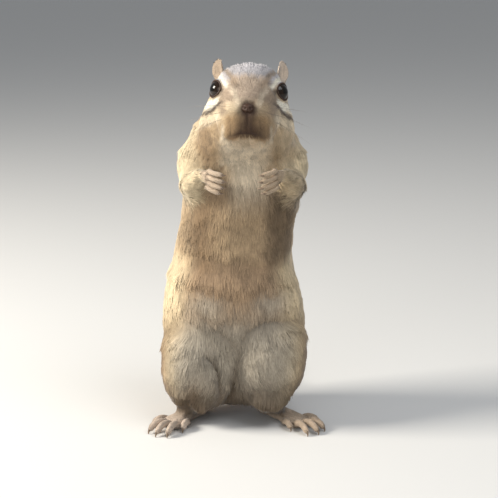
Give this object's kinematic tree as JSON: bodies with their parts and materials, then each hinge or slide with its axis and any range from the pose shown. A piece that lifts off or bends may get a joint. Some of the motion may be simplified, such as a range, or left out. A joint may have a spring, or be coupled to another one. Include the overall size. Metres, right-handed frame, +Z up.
{
  "type": "chipmunk figure",
  "caption": "Life-size chipmunk standing upright on its hind feet, with full cheek pouches, forepaws held before its mouth and its tail laid back on the floor.",
  "frame": {"origin": "on the floor, under the middle of the bounding box", "axes": "+Z up, -Y the way the face and toes point, +Y towards the tail, +X the animal's left side"},
  "size_m": [0.0632, 0.1408, 0.1313],
  "materials": {
    "coat_face": "short soft fur, grey-brown with pale and dark stripes",
    "coat_back": "soft fur, grey-brown to rufous with five dark stripes",
    "coat_belly": "soft fur, buff white",
    "coat_flank": "soft fur, golden tan",
    "coat_tail": "longer fur, dark and frosted with pale tips",
    "paw": "short hair over bare pads, dark horn claws",
    "nose_skin": "bare moist skin",
    "eye": "wet, glossy, nearly black"
  },
  "bodies": {
    "root": {"head": "coat_face", "nose": "nose_skin", "neck": "coat_back", "thorax": "coat_belly", "abdomen": "coat_belly", "eye_right": "eye", "eye_left": "eye", "ear_right": "coat_face", "ear_left": "coat_face", "upper_arm_right": "coat_flank", "upper_arm_left": "coat_flank", "forearm_right": "coat_flank", "forearm_left": "coat_flank", "hand_right": "paw", "hand_left": "paw", "thigh_right": "coat_flank", "thigh_left": "coat_flank", "shank_right": "coat_flank", "shank_left": "coat_flank", "foot_right": "paw", "foot_left": "paw", "tail_base": "coat_tail", "tail_middle": "coat_tail", "tail_tip": "coat_tail"}
  },
  "joints": []
}
